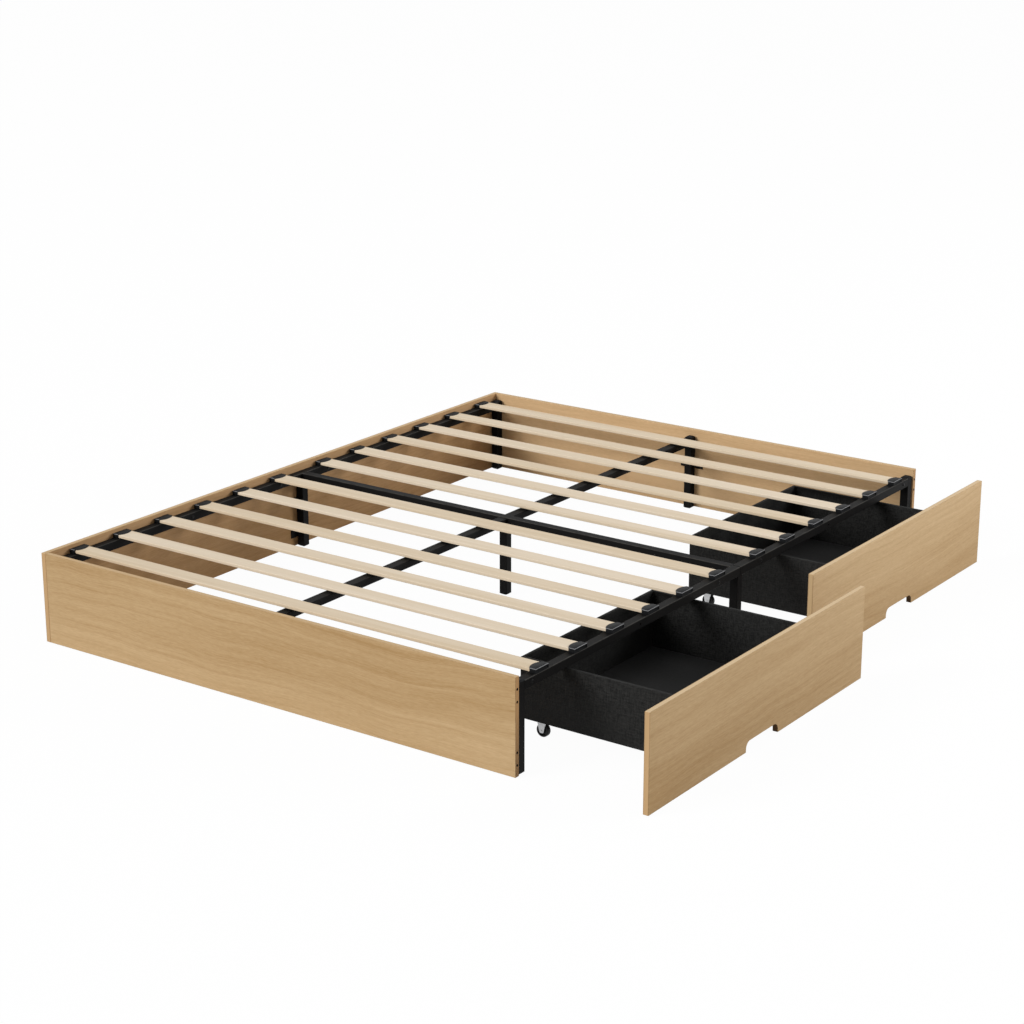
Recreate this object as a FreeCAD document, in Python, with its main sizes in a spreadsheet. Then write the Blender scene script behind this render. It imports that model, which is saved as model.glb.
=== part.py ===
import FreeCAD, Part
import os
import Sketcher

# Queen-size storage platform bed without a headboard.
# X runs across the bed, positive towards the drawers; Y runs along it, positive towards the head; Z is up.
# The origin lies on the floor under the middle leg. The drawers stand pulled out by pull_foot and pull_head.

DIMENSIONS = {
    "bed_length": 2080,
    "bed_width": 1575,
    "panel_height": 256,
    "panel_thick": 15,
    "panel_lift": 2,
    "arris_radius": 1,
    "dowel_bore": 5,
    "dowel_pitch": 32,
    "dowel_depth": 30,
    "dowel_bite": 10,
    "fit_gap": 0.3,
    "frame_gap": 3,
    "leg_size": 25,
    "tube_wall": 1.5,
    "tube_radius": 2,
    "rail_top": 235,
    "rail_size": 25,
    "splice_gap": 2,
    "sleeve_length": 260,
    "stub_length": 60,
    "crossbar_size": 25,
    "centre_rail_width": 30,
    "centre_rail_height": 20,
    "plug_head": 3.5,
    "plug_crown": 15,
    "plug_stem": 15,
    "plate_length": 80,
    "plate_height": 24,
    "plate_upper": 143,
    "plate_lower": 42,
    "screw_first": 30,
    "screw_second_share": 0.4965,
    "screw_splice": 111,
    "screw_shank": 5,
    "screw_head": 10,
    "screw_face": 6,
    "screw_rise": 2,
    "screw_short": 12,
    "screw_bite": 10,
    "slat_width": 50,
    "slat_thick": 9,
    "slat_radius": 2,
    "slat_end_gap": 99,
    "slat_middle": 106,
    "cap_floor": 1.5,
    "cap_roof": 1.2,
    "cap_wall": 1.5,
    "cap_end_wall": 4,
    "cap_length": 19,
    "cap_tongue": 9.5,
    "front_gap": 4.8,
    "front_reveal": 1.4,
    "drawer_lift": 3,
    "pull_foot": 353,
    "pull_head": 200,
    "notch_width": 155,
    "notch_top": 29.5,
    "notch_radius": 18,
    "box_width": 599,
    "box_depth": 494,
    "box_height": 160,
    "box_lift": 47,
    "board_thick": 9,
    "bottom_thick": 6,
    "inner_front_drop": 2,
    "caster_side": 28,
    "caster_end": 50,
    "wheel_radius": 17.5,
    "wheel_width": 14,
    "wheel_bevel": 1.5,
    "wheel_web": 6,
    "hub_radius": 6,
    "rim_radius": 12.5,
    "axle_radius": 2.5,
    "axle_gap": 0.1,
    "axle_rivet": 1,
    "cheek_thick": 2,
    "cheek_gap": 1,
    "cheek_top": 27,
    "cheek_foot": 11,
    "cheek_drop": 5.5,
    "cheek_radius": 4,
    "fork_plate": 2,
    "fork_length": 38,
    "fork_width": 26,
}

SLATS_PER_HALF = 6

# Places and sizes that follow from the driving dimensions.
DERIVED = {
    "face_x": "dims.bed_width / 2 - dims.panel_thick",
    "face_y": "dims.bed_length / 2 - dims.panel_thick",
    "side_out_x": "dims.bed_width / 2",
    "end_out_y": "dims.bed_length / 2",
    "end_mid_y": "dims.bed_length / 2 - dims.panel_thick / 2",
    "panel_rise": "dims.panel_height - dims.panel_lift",
    "dowel_low": "dims.dowel_pitch - dims.panel_lift",
    "dowel_second": "2 * dims.dowel_pitch - dims.panel_lift",
    "dowel_third": "dims.panel_height - 2 * dims.dowel_pitch - dims.panel_lift",
    "dowel_high": "dims.panel_height - dims.dowel_pitch - dims.panel_lift",
    "dowel_hole": "dims.dowel_bore / 2",
    "dowel_radius": "dims.dowel_bore / 2 - dims.fit_gap",
    "dowel_length": "dims.dowel_depth + dims.dowel_bite - 2 * dims.fit_gap",
    "panel_mid": "dims.panel_thick / 2",
    "leg_out_x": "face_x - dims.frame_gap",
    "leg_out_y": "face_y - dims.frame_gap",
    "leg_x": "leg_out_x - dims.leg_size / 2",
    "leg_y": "leg_out_y - dims.leg_size / 2",
    "leg_in_y": "leg_out_y - dims.leg_size",
    "leg_half": "dims.leg_size / 2",
    "leg_bore": "dims.leg_size / 2 - dims.tube_wall",
    "rail_x": "leg_out_x - dims.rail_size / 2",
    "rail_in_x": "leg_out_x - dims.rail_size",
    "rail_mid": "dims.rail_top - dims.rail_size / 2",
    "rail_half": "dims.rail_size / 2",
    "rail_bore": "dims.rail_size / 2 - dims.tube_wall",
    "rail_length": "leg_in_y - dims.splice_gap / 2",
    "rail_to_leg": "rail_x - leg_x",
    "leg_tall": "dims.rail_top - dims.plug_head",
    "leg_under_rail": "dims.rail_top - dims.rail_size - dims.plug_head",
    "leg_under_crossbar": "rail_mid - dims.crossbar_size / 2 - dims.plug_head",
    "stub_height": "rail_mid - dims.plug_head",
    "stub_half": "rail_bore - dims.fit_gap",
    "stub_bore": "rail_bore - dims.fit_gap - dims.tube_wall",
    "stub_screw": "leg_half + dims.screw_first",
    "crossbar_half": "dims.crossbar_size / 2",
    "crossbar_bore": "dims.crossbar_size / 2 - dims.tube_wall",
    "crossbar_length": "2 * rail_in_x",
    "centre_wide": "dims.centre_rail_width / 2",
    "centre_tall": "dims.centre_rail_height / 2",
    "centre_bore_wide": "dims.centre_rail_width / 2 - dims.tube_wall",
    "centre_bore_tall": "dims.centre_rail_height / 2 - dims.tube_wall",
    "centre_stub_tall": "centre_bore_tall - dims.fit_gap",
    "centre_stub_bore_tall": "centre_stub_tall - dims.tube_wall",
    "centre_rail_length": "leg_in_y - dims.crossbar_size / 2",
    "plug_top_half": "dims.plug_crown / 2",
    "plug_stem_half": "leg_bore - dims.fit_gap",
    "plate_half_length": "dims.plate_length / 2",
    "plate_half_height": "dims.plate_height / 2",
    "plate_y": "face_y - dims.frame_gap / 2",
    "plate_x": "face_x - dims.frame_gap / 2",
    "screw_radius": "dims.screw_shank / 2",
    "screw_hole": "dims.screw_shank / 2 + dims.fit_gap",
    "screw_head_radius": "dims.screw_head / 2",
    "screw_face_radius": "dims.screw_face / 2",
    "screw_long": "dims.rail_size + dims.frame_gap + dims.screw_bite",
    "screw_pilot": "dims.screw_bite + dims.fit_gap",
    "screw_height": "rail_mid - dims.panel_lift",
    "screw_end_y": "leg_in_y - dims.screw_first",
    "screw_second_y": "leg_in_y * dims.screw_second_share",
    "screw_second": "leg_in_y * (1 - dims.screw_second_share)",
    "screw_third": "leg_in_y - dims.screw_splice",
    "slat_first_y": "face_y - dims.slat_end_gap",
    "slat_pitch": f"(slat_first_y - dims.slat_middle) / {SLATS_PER_HALF - 1}",
    "slat_half": "dims.slat_width / 2",
    "slat_half_thick": "dims.slat_thick / 2",
    "slat_length": "2 * (leg_out_x - dims.cap_end_wall - dims.fit_gap)",
    "slat_mid": "dims.rail_top + dims.cap_floor + dims.slat_thick / 2",
    "cap_half": "slat_half + dims.fit_gap + dims.cap_wall",
    "cap_pocket_half": "slat_half + dims.fit_gap",
    "cap_pocket_top": "dims.cap_floor + dims.slat_thick + dims.fit_gap",
    "tongue_radius": "(cap_half ^ 2 + dims.cap_tongue ^ 2) / (2 * dims.cap_tongue)",
    "tongue_reach": "dims.cap_length + dims.cap_tongue",
    "cap_pocket_depth": "tongue_reach - dims.cap_end_wall",
    "front_half": "(dims.bed_length / 2 - dims.front_reveal - dims.front_gap / 2) / 2",
    "front_mid_y": "(dims.bed_length / 2 - dims.front_reveal + dims.front_gap / 2) / 2",
    "front_rise": "dims.panel_height - dims.drawer_lift",
    "notch_half": "dims.notch_width / 2",
    "notch_rise": "dims.notch_top - dims.drawer_lift",
    "front_foot_x": "face_x + dims.pull_foot",
    "front_head_x": "face_x + dims.pull_head",
    "box_half": "dims.box_width / 2",
    "box_clear": "dims.box_width - 2 * dims.board_thick",
    "side_length": "dims.box_depth - dims.board_thick",
    "bottom_length": "dims.box_depth - 2 * dims.board_thick",
    "inner_front_rise": "dims.box_height + dims.inner_front_drop",
    "inner_front_low": "dims.box_lift - dims.inner_front_drop",
    "wheel_half": "dims.wheel_width / 2",
    "wheel_bore": "dims.axle_radius + dims.axle_gap",
    "wheel_web_half": "dims.wheel_web / 2",
    "tread_half": "dims.wheel_width / 2 - dims.wheel_bevel",
    "wheel_shoulder": "dims.wheel_radius - dims.wheel_bevel",
    "cheek_in": "dims.wheel_width / 2 + dims.cheek_gap",
    "axle_length": "2 * (cheek_in + dims.cheek_thick + dims.axle_rivet)",
    "cheek_top_half": "dims.cheek_top / 2",
    "cheek_foot_half": "dims.cheek_foot / 2",
    "fork_under": "dims.box_lift - dims.wheel_radius - dims.fork_plate",
    "fork_half_length": "dims.fork_length / 2",
    "fork_half_width": "dims.fork_width / 2",
}

NEAR_SHARE = 1e-6

doc = FreeCAD.newDocument("platform_bed")


def fill_sheet(name, cells):
    """Makes a sheet with one named cell per row."""
    sheet = doc.addObject("Spreadsheet::Sheet", name)
    for row, (alias, content) in enumerate(cells.items(), start=1):
        sheet.set(f"A{row}", alias)
        sheet.set(f"B{row}", content)
        sheet.setAlias(f"B{row}", alias)
    doc.recompute()


fill_sheet("dims", {alias: str(value) for alias, value in DIMENSIONS.items()})
fill_sheet("places", {alias: f"={formula}" for alias, formula in DERIVED.items()})


def number(name):
    """Value of a cell such as dims.bed_length, with an optional minus sign in front."""
    sheet, alias = name.lstrip("-").split(".")
    value = float(getattr(doc.getObject(sheet), alias))
    return -value if name.startswith("-") else value


def bind(thing, **expressions):
    """Binds properties of an object to cells."""
    for name, expression in expressions.items():
        thing.setExpression(name, expression)


def put(thing, x="0", y="0", z="0", turn=0):
    """Places an object, turned about the vertical by a number of degrees."""
    thing.Placement = FreeCAD.Placement(FreeCAD.Vector(), FreeCAD.Rotation(FreeCAD.Vector(0, 0, 1), turn))
    for axis, expression in (("x", x), ("y", y), ("z", z)):
        if expression != "0":
            thing.setExpression(f"Placement.Base.{axis}", expression)
    return thing


def new_body(label):
    body = doc.addObject("PartDesign::Body", label)
    body.Label = label
    return body


def sketch_on(body, role, x=None, y=None, z=None):
    """Adds a sketch on one of the body's origin planes, shifted in the plane by x and y and off it by z."""
    sketch = body.newObject("Sketcher::SketchObject", f"{body.Label}_sketch")
    plane = next(item for item in body.Origin.OriginFeatures if item.Role == role)
    sketch.AttachmentSupport = [(plane, "")]
    sketch.MapMode = "FlatFace"
    for axis, expression in (("x", x), ("y", y), ("z", z)):
        if expression:
            sketch.setExpression(f"AttachmentOffset.Base.{axis}", expression)
    return sketch


def pin(sketch, geometry, point, kind, name):
    """Holds one coordinate of a point at a cell's value, measured from the sketch's origin."""
    if name == "0":
        axis = -2 if kind == "DistanceX" else -1
        sketch.addConstraint(Sketcher.Constraint("PointOnObject", geometry, point, axis))
        return
    ends = (-1, 1, geometry, point)
    if name.startswith("-"):
        ends = (geometry, point, -1, 1)
    index = sketch.addConstraint(Sketcher.Constraint(kind, *ends, abs(number(name))))
    sketch.setExpression(f"Constraints[{index}]", name.lstrip("-"))


def vector(x, y):
    """Starting point of a sketch corner."""
    return FreeCAD.Vector(0 if x == "0" else number(x), 0 if y == "0" else number(y), 0)


def outline(sketch, corners):
    """Closed polygon whose corners are pairs of cell names."""
    first = sketch.GeometryCount
    count = len(corners)
    for index, corner in enumerate(corners):
        following = corners[(index + 1) % count]
        sketch.addGeometry(Part.LineSegment(vector(*corner), vector(*following)))
    for index, (x, y) in enumerate(corners):
        here = first + index
        before = first + (index - 1) % count
        sketch.addConstraint(Sketcher.Constraint("Coincident", before, 2, here, 1))
        pin(sketch, here, 1, "DistanceX", x)
        pin(sketch, here, 1, "DistanceY", y)


def rectangle(sketch, half_width, half_height):
    """Rectangle centred on the sketch's origin."""
    outline(sketch, [(f"-{half_width}", f"-{half_height}"), (half_width, f"-{half_height}"),
                     (half_width, half_height), (f"-{half_width}", half_height)])


def upright(sketch, half_width, height):
    """Rectangle that stands on the sketch's X axis, centred on its Y axis."""
    outline(sketch, [(f"-{half_width}", "0"), (half_width, "0"), (half_width, height),
                     (f"-{half_width}", height)])


def circle(sketch, radius, x="0", y="0"):
    index = sketch.addGeometry(Part.Circle(vector(x, y), FreeCAD.Vector(0, 0, 1), number(radius)))
    pin(sketch, index, 3, "DistanceX", x)
    pin(sketch, index, 3, "DistanceY", y)
    bound = sketch.addConstraint(Sketcher.Constraint("Radius", index, number(radius)))
    sketch.setExpression(f"Constraints[{bound}]", radius)


def pad(body, sketch, length, against=False, both_ways=False):
    """Extrudes a sketch along its plane's normal, against it or both ways."""
    feature = body.newObject("PartDesign::Pad", f"{body.Label}_pad")
    feature.Profile = sketch
    feature.SideType = "Symmetric" if both_ways else "One side"
    feature.Reversed = against
    bind(feature, Length=length)
    doc.recompute()
    return feature


def pocket(body, sketch, length=None):
    """Cuts a sketch to a depth against its plane's normal, or through everything both ways."""
    before = body.Shape.Volume
    feature = body.newObject("PartDesign::Pocket", f"{body.Label}_pocket")
    feature.Profile = sketch
    if length:
        bind(feature, Length=length)
    else:
        feature.Type = "ThroughAll"
        feature.SideType = "Symmetric"
    doc.recompute()
    if not body.Shape.Volume < before:
        raise ValueError(f"{body.Label}: a pocket cut nothing")
    return feature


def mirrored(body, feature, role):
    """Repeats a feature across one of the body's origin planes."""
    copy = body.newObject("PartDesign::Mirrored", f"{body.Label}_mirrored")
    copy.Originals = [feature]
    copy.MirrorPlane = (next(item for item in body.Origin.OriginFeatures if item.Role == role), [""])
    body.Tip = copy
    doc.recompute()
    return copy


def fillet(body, feature, radius, chosen):
    """Rounds the edges of a feature that pass the test."""
    names = [f"Edge{index}" for index, edge in enumerate(feature.Shape.Edges, start=1) if chosen(edge)]
    rounded = body.newObject("PartDesign::Fillet", f"{body.Label}_fillet")
    rounded.Base = (feature, names)
    bind(rounded, Radius=radius)
    doc.recompute()
    return rounded


def outermost(feature, axis):
    """Test for the straight edges along an axis that lie farthest from the section's middle."""
    middle = feature.Shape.BoundBox.Center

    def reach(edge):
        away = edge.CenterOfMass - middle
        return (away - axis * away.dot(axis)).Length

    def along(edge):
        run = edge.Vertexes[-1].Point - edge.Vertexes[0].Point
        return run.cross(axis).Length < NEAR_SHARE * edge.Length

    farthest = max(reach(edge) for edge in feature.Shape.Edges if along(edge))
    return lambda edge: along(edge) and reach(edge) > farthest * (1 - NEAR_SHARE)


ACROSS = FreeCAD.Vector(1, 0, 0)
ALONG = FreeCAD.Vector(0, 1, 0)
UPWARD = FreeCAD.Vector(0, 0, 1)


def tube(body, role, axis, outer, bore, length, **pose):
    """Square tube with rounded outer corners: outer and bore are pairs of half sizes."""
    sketch = sketch_on(body, role)
    rectangle(sketch, *outer)
    rectangle(sketch, *bore)
    extruded = pad(body, sketch, length, **pose)
    return fillet(body, extruded, "dims.tube_radius", outermost(extruded, axis))


def group(label, master, spots):
    """Node of separate copies of one solid, each at a placement of its own."""
    copies = []
    for spot in spots:
        copy = master.Shape.copy()
        copy.Placement = spot
        copies.append(copy)
    node = doc.addObject("Part::Feature", label)
    node.Label = label
    node.Shape = Part.makeCompound(copies)
    return node


def spot(x, y, z, axis=UPWARD, turn=0):
    return FreeCAD.Placement(FreeCAD.Vector(x, y, z), FreeCAD.Rotation(axis, turn))


nodes = []
SIDES = {"left": -1, "right": 1}
ENDS = {"foot": -1, "head": 1}
DOWEL_HEIGHTS = ("places.dowel_low", "places.dowel_second", "places.dowel_third", "places.dowel_high")


# The end panels stand between the side panel and the drawer fronts; their end faces are bored for dowels.
def end_panel(label, outer_face):
    body = new_body(label)
    sketch = sketch_on(body, "XZ_Plane")
    upright(sketch, "places.face_x", "places.panel_rise")
    board = pad(body, sketch, "dims.panel_thick")
    fillet(body, board, "dims.arris_radius", lambda edge: True)
    bores = sketch_on(body, "YZ_Plane", x="-places.panel_mid", z="places.face_x")
    for height in DOWEL_HEIGHTS:
        circle(bores, "places.dowel_hole", "0", height)
    drilled = pocket(body, bores, "dims.dowel_depth")
    mirrored(body, drilled, "YZ_Plane")
    return put(body, y=outer_face, z="dims.panel_lift")


# The side panel covers the left end faces of both end panels and takes the dowels and the left rail's screws.
def side_panel():
    body = new_body("side_panel")
    sketch = sketch_on(body, "YZ_Plane")
    upright(sketch, "places.end_out_y", "places.panel_rise")
    board = pad(body, sketch, "dims.panel_thick")
    fillet(body, board, "dims.arris_radius", lambda edge: True)
    bores = sketch_on(body, "YZ_Plane", z="dims.panel_thick")
    for height in DOWEL_HEIGHTS:
        circle(bores, "places.dowel_hole", "places.end_mid_y", height)
        circle(bores, "places.dowel_hole", "-places.end_mid_y", height)
    pocket(body, bores, "dims.dowel_bite")
    pilots = sketch_on(body, "YZ_Plane", z="dims.panel_thick")
    for along in ("places.screw_end_y", "places.screw_second_y", "dims.screw_splice"):
        circle(pilots, "places.screw_hole", along, "places.screw_height")
        circle(pilots, "places.screw_hole", f"-{along}", "places.screw_height")
    pocket(body, pilots, "places.screw_pilot")
    return put(body, x="-places.side_out_x", z="dims.panel_lift")


# A leg is a square tube on a plug; the legs at the ends carry a stub that slides into the rail.
def leg(label, x, y, length, turn=0, stub=None):
    body = new_body(label)
    tube(body, "XY_Plane", UPWARD, ("places.leg_half",) * 2, ("places.leg_bore",) * 2, length)
    if stub:
        outer, bore, shift = stub
        ring = sketch_on(body, "XZ_Plane", x=shift, y="places.stub_height", z="-places.leg_half")
        rectangle(ring, *outer)
        rectangle(ring, *bore)
        pad(body, ring, "dims.stub_length", against=True)
        if shift:
            hole = sketch_on(body, "YZ_Plane", x="places.stub_screw", y="places.stub_height")
            circle(hole, "places.screw_hole")
            pocket(body, hole)
    return put(body, x, y, "dims.plug_head", turn)


RAIL_STUB = (("places.stub_half",) * 2, ("places.stub_bore",) * 2)
CENTRE_STUB = (("places.stub_half", "places.centre_stub_tall"),
               ("places.stub_bore", "places.centre_stub_bore_tall"), None)


def signed(direction, name):
    return name if direction > 0 else f"-{name}"


nodes.append(end_panel("foot_panel", "-places.face_y"))
nodes.append(end_panel("head_panel", "places.end_out_y"))
nodes.append(side_panel())

for end, toward in ENDS.items():
    turn = 180 if toward > 0 else 0
    for side, outward in SIDES.items():
        shift = signed(-outward * toward, "places.rail_to_leg")
        nodes.append(leg(f"leg_{end}_{side}", signed(outward, "places.leg_x"), signed(toward, "places.leg_y"),
                         "places.leg_tall", turn, RAIL_STUB + (shift,)))
    nodes.append(leg(f"leg_{end}_centre", "0", signed(toward, "places.leg_y"), "places.leg_tall", turn,
                     CENTRE_STUB))
for side, outward in SIDES.items():
    nodes.append(leg(f"leg_mid_{side}", signed(outward, "places.rail_x"), "0", "places.leg_under_rail"))
nodes.append(leg("leg_mid_centre", "0", "0", "places.leg_under_crossbar"))


# The side rails run from the end legs to a splice at mid-length and are bored for three screws each.
def side_rail(label, x, y, turn):
    body = new_body(label)
    tube(body, "XZ_Plane", ALONG, ("places.rail_half",) * 2, ("places.rail_bore",) * 2, "places.rail_length",
         against=True)
    holes = sketch_on(body, "YZ_Plane")
    for along in ("dims.screw_first", "places.screw_second", "places.screw_third"):
        circle(holes, "places.screw_hole", along)
    pocket(body, holes)
    return put(body, x, y, "places.rail_mid", turn)


for side, outward in SIDES.items():
    for end, toward in ENDS.items():
        nodes.append(side_rail(f"rail_{side}_{end}", signed(outward, "places.rail_x"),
                               signed(toward, "places.leg_in_y"), 180 if toward > 0 else 0))


# Inside each splice a smaller tube joins the two halves of the rail.
sleeve = new_body("rail_sleeve")
tube(sleeve, "XZ_Plane", ALONG, ("places.stub_half",) * 2, ("places.stub_bore",) * 2, "dims.sleeve_length",
     both_ways=True)
sleeve_holes = sketch_on(sleeve, "YZ_Plane")
circle(sleeve_holes, "places.screw_hole", "dims.screw_splice")
circle(sleeve_holes, "places.screw_hole", "-dims.screw_splice")
pocket(sleeve, sleeve_holes)

RAIL_X = number("places.rail_x")
RAIL_MID = number("places.rail_mid")
sleeve_spots = [spot(outward * RAIL_X, 0, RAIL_MID) for outward in SIDES.values()]
nodes.append(group("rail_sleeves", sleeve, sleeve_spots))

crossbar = new_body("mid_crossbar")
tube(crossbar, "YZ_Plane", ACROSS, ("places.crossbar_half",) * 2, ("places.crossbar_bore",) * 2,
     "places.crossbar_length", both_ways=True)
nodes.append(put(crossbar, z="places.rail_mid"))

for end, toward in ENDS.items():
    rail = new_body(f"centre_rail_{end}")
    tube(rail, "XZ_Plane", ALONG, ("places.centre_wide", "places.centre_tall"),
         ("places.centre_bore_wide", "places.centre_bore_tall"), "places.centre_rail_length", against=True)
    turn = 180 if toward > 0 else 0
    nodes.append(put(rail, "0", signed(toward, "places.leg_in_y"), "places.rail_mid", turn))


# Domed plug that closes a leg: its flange rests on the tube's end, its stem goes inside.
plug = new_body("leg_plug")
flange = sketch_on(plug, "XY_Plane")
rectangle(flange, "places.leg_half", "places.leg_half")
crown = sketch_on(plug, "XY_Plane", z="dims.plug_head")
rectangle(crown, "places.plug_top_half", "places.plug_top_half")
dome = plug.newObject("PartDesign::AdditiveLoft", "leg_plug_dome")
dome.Profile = flange
dome.Sections = [crown]
dome.Ruled = True
stem = sketch_on(plug, "XY_Plane")
rectangle(stem, "places.plug_stem_half", "places.plug_stem_half")
pad(plug, stem, "dims.plug_stem", against=True)

LEG_X = number("places.leg_x")
LEG_Y = number("places.leg_y")
PLUG_HEAD = number("dims.plug_head")
RAIL_TOP = number("dims.rail_top")
end_spots = [(x, y) for y in (-LEG_Y, LEG_Y) for x in (-LEG_X, 0, LEG_X)]
mid_spots = [(x, 0) for x in (-RAIL_X, 0, RAIL_X)]
plug_spots = [spot(x, y, RAIL_TOP) for x, y in end_spots]
plug_spots += [spot(x, y, PLUG_HEAD, ACROSS, 180) for x, y in end_spots + mid_spots]
nodes.append(group("leg_plugs", plug, plug_spots))


# Flat plates fill the gap between a leg and its panel: one per end panel, two on the side panel.
plate = new_body("panel_plate")
plate_face = sketch_on(plate, "XZ_Plane")
rectangle(plate_face, "places.plate_half_length", "places.plate_half_height")
pad(plate, plate_face, "dims.frame_gap", both_ways=True)

PLATE_Y = number("places.plate_y")
PLATE_X = number("places.plate_x")
PLATE_LOWER = number("dims.plate_lower")
PLATE_UPPER = number("dims.plate_upper")
plate_spots = [spot(0, toward * PLATE_Y, PLATE_UPPER) for toward in ENDS.values()]
plate_spots += [spot(-PLATE_X, 0, height, UPWARD, 90) for height in (PLATE_LOWER, PLATE_UPPER)]
nodes.append(group("panel_plates", plate, plate_spots))


# Button-head screws: short ones through the right rail's outer wall, long ones through the left rail.
def screw(label, length):
    body = new_body(label)
    profile = sketch_on(body, "XY_Plane")
    outline(profile, [("0", "dims.screw_rise"), ("0", f"-{length}"), ("places.screw_radius", f"-{length}"),
                      ("places.screw_radius", "0"), ("places.screw_head_radius", "0"),
                      ("places.screw_face_radius", "dims.screw_rise")])
    turned = body.newObject("PartDesign::Revolution", f"{label}_turned")
    turned.Profile = profile
    turned.ReferenceAxis = (profile, ["V_Axis"])
    turned.Angle = 360
    doc.recompute()
    return body


short_screw = screw("short_screw", "dims.screw_short")
long_screw = screw("long_screw", "places.screw_long")
END_SCREW = number("places.screw_end_y")
SECOND_SCREW = number("places.screw_second_y")
SPLICE_SCREW = number("dims.screw_splice")
right_face = number("places.leg_out_x")
left_face = -number("places.rail_in_x")
short_spots = [spot(right_face, toward * y, RAIL_MID, UPWARD, -90)
               for toward in ENDS.values() for y in (END_SCREW, SPLICE_SCREW)]
long_spots = [spot(left_face, toward * y, RAIL_MID, UPWARD, -90)
              for toward in ENDS.values() for y in (END_SCREW, SECOND_SCREW, SPLICE_SCREW)]
short_screws = group("short_screws", short_screw, short_spots)
long_screws = group("long_screws", long_screw, long_spots)
screws = doc.addObject("Part::Compound", "frame_screws")
screws.Label = "frame_screws"
screws.Links = [short_screws, long_screws]
nodes.append(screws)

# Dowels join the end panels to the side panel.
dowel = doc.addObject("Part::Cylinder", "dowel")
bind(dowel, Radius="places.dowel_radius", Height="places.dowel_length")
doc.recompute()
dowel_x = -number("places.face_x") - number("dims.dowel_bite") + number("dims.fit_gap")
dowel_spots = [spot(dowel_x, toward * number("places.end_mid_y"), number(height) + number("dims.panel_lift"),
                    ALONG, 90) for toward in ENDS.values() for height in DOWEL_HEIGHTS]
nodes.append(group("panel_dowels", dowel, dowel_spots))


# Twelve slats across the bed, counted from the foot end.
SLAT_FIRST = "places.slat_first_y"
for index in range(2 * SLATS_PER_HALF):
    slat = new_body(f"slat_{index + 1:02d}")
    profile = sketch_on(slat, "YZ_Plane")
    rectangle(profile, "places.slat_half", "places.slat_half_thick")
    strip = pad(slat, profile, "places.slat_length", both_ways=True)
    fillet(slat, strip, "dims.slat_radius", outermost(strip, ACROSS))
    toward = -1 if index < SLATS_PER_HALF else 1
    step = min(index, 2 * SLATS_PER_HALF - 1 - index)
    along = f"{toward} * ({SLAT_FIRST} - {step} * places.slat_pitch)"
    nodes.append(put(slat, "0", along, "places.slat_mid"))

# A cap holds each slat's end on the rail; its roof bulges inwards over the slat.
cap = new_body("slat_cap")
block = sketch_on(cap, "XY_Plane")
outline(block, [("0", "-places.cap_half"), ("dims.cap_length", "-places.cap_half"),
                ("dims.cap_length", "places.cap_half"), ("0", "places.cap_half")])
pad(cap, block, "places.cap_pocket_top")
roof = sketch_on(cap, "XY_Plane", z="places.cap_pocket_top")
roof_corners = [("dims.cap_length", "places.cap_half"), ("0", "places.cap_half"), ("0", "-places.cap_half"),
                ("dims.cap_length", "-places.cap_half")]
for corner, following in zip(roof_corners, roof_corners[1:]):
    roof.addGeometry(Part.LineSegment(vector(*corner), vector(*following)))
bulge = Part.Arc(vector(*roof_corners[3]), vector("places.tongue_reach", "0"), vector(*roof_corners[0]))
arc = roof.addGeometry(bulge)
for line in range(2):
    roof.addConstraint(Sketcher.Constraint("Coincident", line, 2, line + 1, 1))
roof.addConstraint(Sketcher.Constraint("Coincident", 2, 2, arc, 1))
roof.addConstraint(Sketcher.Constraint("Coincident", 0, 1, arc, 2))
for line, (x, y) in enumerate(roof_corners[:3]):
    pin(roof, line, 1, "DistanceX", x)
    pin(roof, line, 1, "DistanceY", y)
pin(roof, 2, 2, "DistanceX", roof_corners[3][0])
pin(roof, 2, 2, "DistanceY", roof_corners[3][1])
bound = roof.addConstraint(Sketcher.Constraint("Radius", arc, number("places.tongue_radius")))
roof.setExpression(f"Constraints[{bound}]", "places.tongue_radius")
pad(cap, roof, "dims.cap_roof")
slot = sketch_on(cap, "YZ_Plane", z="places.tongue_reach")
outline(slot, [("-places.cap_pocket_half", "dims.cap_floor"), ("places.cap_pocket_half", "dims.cap_floor"),
               ("places.cap_pocket_half", "places.cap_pocket_top"),
               ("-places.cap_pocket_half", "places.cap_pocket_top")])
pocket(cap, slot, "places.cap_pocket_depth")

slat_places = [number(SLAT_FIRST) - step * number("places.slat_pitch") for step in range(SLATS_PER_HALF)]
cap_spots = [spot(outward * right_face, toward * y, RAIL_TOP, UPWARD, 180 if outward > 0 else 0)
             for outward in SIDES.values() for toward in ENDS.values() for y in slat_places]
nodes.append(group("slat_caps", cap, cap_spots))


# A drawer is a long front with a finger notch, a shorter box behind it and four casters.
def drawer_front(label, front_x, toward):
    body = new_body(label)
    face = sketch_on(body, "YZ_Plane")
    outline(face, [("-places.front_half", "0"), ("-places.notch_half", "0"),
                   ("-places.notch_half", "places.notch_rise"), ("places.notch_half", "places.notch_rise"),
                   ("places.notch_half", "0"), ("places.front_half", "0"),
                   ("places.front_half", "places.front_rise"), ("-places.front_half", "places.front_rise")])
    board = pad(body, face, "dims.panel_thick")
    half = number("places.notch_half")
    rise = number("places.notch_rise")

    def notch_corner(edge):
        here = edge.CenterOfMass
        near = NEAR_SHARE * half
        return abs(abs(here.y) - half) < near and abs(here.z - rise) < near

    rounded = fillet(body, board, "dims.notch_radius", notch_corner)
    fillet(body, rounded, "dims.arris_radius", lambda edge: True)
    return put(body, front_x, signed(toward, "places.front_mid_y"), "dims.drawer_lift")


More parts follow.
